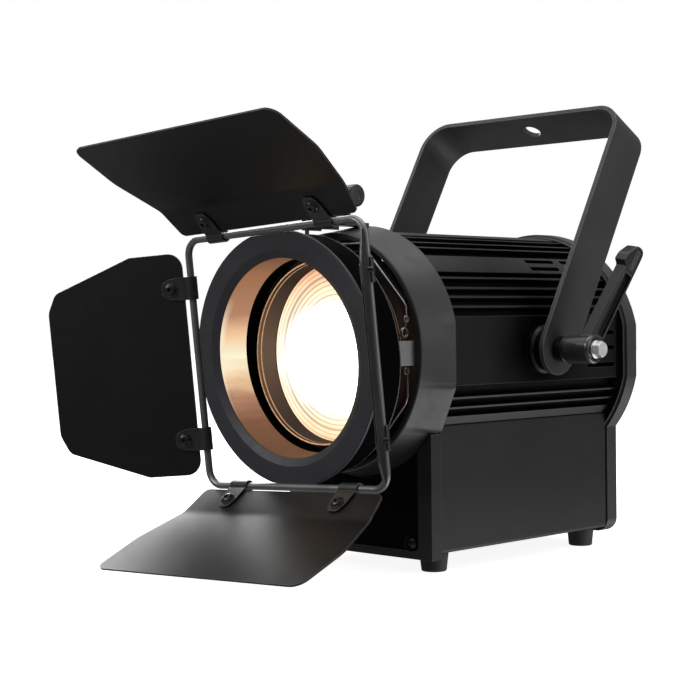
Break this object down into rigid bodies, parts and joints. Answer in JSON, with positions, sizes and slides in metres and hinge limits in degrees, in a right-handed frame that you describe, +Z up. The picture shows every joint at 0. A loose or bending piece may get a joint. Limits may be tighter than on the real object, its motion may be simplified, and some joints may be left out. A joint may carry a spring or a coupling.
{
  "type": "fresnel spotlight",
  "caption": "Stage spotlight with round finned housing on a flat base, large warm fresnel lens, rotating four-leaf barn doors, hanging yoke with clamp levers",
  "frame": {"origin": "bottom centre of the bounding box, on the floor plane under the feet", "axes": "+Z up, +X to the right seen from behind the lamp looking along the beam reversed, the beam leaves along -Y, +Y is the rear with the controls"},
  "size_m": [0.3462, 0.388, 0.3246],
  "materials": {
    "anodised": "black anodised, fine satin",
    "satin": "satin black paint",
    "powder": "fine textured black powder coat",
    "ring_black": "matt black paint",
    "steel_black": "satin black painted steel",
    "steel": "ground steel rod",
    "zinc": "bright zinc plate",
    "screw": "black oxide",
    "bare_aluminium": "plain aluminium",
    "plastic": "moulded black plastic",
    "rubber": "black rubber",
    "button": "grey silicone rubber",
    "display": "dark display window",
    "glass": "clear moulded glass, lit warm white from behind",
    "led": "light-emitting module with yellow phosphor"
  },
  "bodies": {
    "lamp": {"heat_sink_housing": "anodised", "front_bezel": "satin", "rear_cover": "satin", "dmx_input": "satin", "dmx_output": "satin", "base_box": "powder", "base_front": "powder", "accessory_holder": "steel_black", "latch_bracket": "steel_black", "guide_rod": "steel", "led_heat_sink": "bare_aluminium", "power_supply": "bare_aluminium", "power_inlet": "plastic", "fan_frame": "plastic", "pivot_boss_left": "plastic", "pivot_boss_right": "plastic", "foot_front_left": "rubber", "foot_front_right": "rubber", "foot_rear_left": "rubber", "foot_rear_right": "rubber", "display_window": "display", "led_module": "led"},
    "lens_carriage_body": {"lens_carriage": "steel_black", "lens_ring": "ring_black", "fresnel_lens": "glass"},
    "zoom_spindle": {"zoom_knob": "plastic"},
    "fan": {"fan_rotor": "plastic"},
    "latch_hook": {"latch_arm": "steel_black"},
    "latch_screw": {"latch_knob": "plastic"},
    "barn_doors": {"barn_ring": "ring_black", "barn_wire_frame": "steel_black"},
    "yoke_frame": {"yoke": "powder"},
    "lever_right": {"clamp_lever_right": "plastic", "clamp_bolt_right": "zinc"},
    "lever_left": {"clamp_lever_left": "plastic", "clamp_bolt_left": "zinc"},
    "door_top": {"leaf_top": "powder", "clip_top_a": "steel_black", "clip_top_b": "steel_black", "clip_screw_top_a": "screw", "clip_screw_top_b": "screw"},
    "door_bottom": {"leaf_bottom": "powder", "clip_bottom_a": "steel_black", "clip_bottom_b": "steel_black", "clip_screw_bottom_a": "screw", "clip_screw_bottom_b": "screw"},
    "door_left": {"leaf_left": "powder", "clip_left_a": "steel_black", "clip_left_b": "steel_black", "clip_screw_left_a": "screw", "clip_screw_left_b": "screw"},
    "door_right": {"leaf_right": "powder", "clip_right_a": "steel_black", "clip_right_b": "steel_black", "clip_screw_right_a": "screw", "clip_screw_right_b": "screw"},
    "key_menu": {"button_menu": "button"},
    "key_down": {"button_down": "button"},
    "key_up": {"button_up": "button"},
    "key_enter": {"button_enter": "button"}
  },
  "joints": [
    {"name": "zoom_slide", "type": "slide", "parent": "lamp", "child": "lens_carriage_body", "axis": [0, 1, 0], "range_m": [0, 0.05]},
    {"name": "zoom_turn", "type": "hinge", "parent": "lamp", "child": "zoom_spindle", "pos_m": [0.0118, 0.0976, 0.0828], "axis": [0, 1, 0], "range_deg": [0, 720]},
    {"name": "fan_spin", "type": "hinge", "parent": "lamp", "child": "fan", "pos_m": [0.0118, 0.1216, 0.1473], "axis": [0, 1, 0], "continuous": true},
    {"name": "latch_lift", "type": "slide", "parent": "lamp", "child": "latch_hook", "axis": [0, 0, 1], "range_m": [0, 0.014]},
    {"name": "latch_screw_turn", "type": "hinge", "parent": "lamp", "child": "latch_screw", "pos_m": [0.0168, -0.0424, 0.2535], "axis": [1, 0, 0], "range_deg": [-180, 180]},
    {"name": "barn_door_rotation", "type": "hinge", "parent": "lamp", "child": "barn_doors", "pos_m": [0.0118, -0.1024, 0.144], "axis": [0, 0.9975, 0.0703], "range_deg": [-180, 180]},
    {"name": "leaf_top_hinge", "type": "hinge", "parent": "barn_doors", "child": "door_top", "pos_m": [0.00802, -0.10837, 0.22881], "axis": [0.999, -0.0031, 0.0444], "range_deg": [-39, 51]},
    {"name": "leaf_bottom_hinge", "type": "hinge", "parent": "barn_doors", "child": "door_bottom", "pos_m": [0.01559, -0.09642, 0.05919], "axis": [-0.999, 0.0031, -0.0444], "range_deg": [-54.5, 35.5]},
    {"name": "leaf_left_hinge", "type": "hinge", "parent": "barn_doors", "child": "door_left", "pos_m": [-0.07321, -0.10213, 0.14022], "axis": [-0.0445, -0.0702, 0.9965], "range_deg": [-28, 62]},
    {"name": "leaf_right_hinge", "type": "hinge", "parent": "barn_doors", "child": "door_right", "pos_m": [0.09682, -0.10266, 0.14778], "axis": [0.0445, 0.0702, -0.9965], "range_deg": [-48, 42]},
    {"name": "yoke_tilt", "type": "hinge", "parent": "lamp", "child": "yoke_frame", "pos_m": [0.0118, 0.0712, 0.1473], "axis": [-1, 0, 0], "range_deg": [-80, 95]},
    {"name": "clamp_lever_right_turn", "type": "hinge", "parent": "yoke_frame", "child": "lever_right", "pos_m": [0.1218, 0.0712, 0.1473], "axis": [1, 0, 0], "range_deg": [-120, 120]},
    {"name": "clamp_lever_left_turn", "type": "hinge", "parent": "yoke_frame", "child": "lever_left", "pos_m": [-0.0982, 0.0712, 0.1473], "axis": [-1, 0, 0], "range_deg": [-120, 120]},
    {"name": "button_menu_press", "type": "slide", "parent": "lamp", "child": "key_menu", "axis": [0, -1, 0], "range_m": [0, 0.001], "stiffness_N_per_m": 500, "springref_m": -0.001},
    {"name": "button_down_press", "type": "slide", "parent": "lamp", "child": "key_down", "axis": [0, -1, 0], "range_m": [0, 0.001], "stiffness_N_per_m": 500, "springref_m": -0.001},
    {"name": "button_up_press", "type": "slide", "parent": "lamp", "child": "key_up", "axis": [0, -1, 0], "range_m": [0, 0.001], "stiffness_N_per_m": 500, "springref_m": -0.001},
    {"name": "button_enter_press", "type": "slide", "parent": "lamp", "child": "key_enter", "axis": [0, -1, 0], "range_m": [0, 0.001], "stiffness_N_per_m": 500, "springref_m": -0.001}
  ],
  "couplings": [
    {"joint": "zoom_turn", "follows": "zoom_slide", "rad_per_m": 251.33}
  ]
}
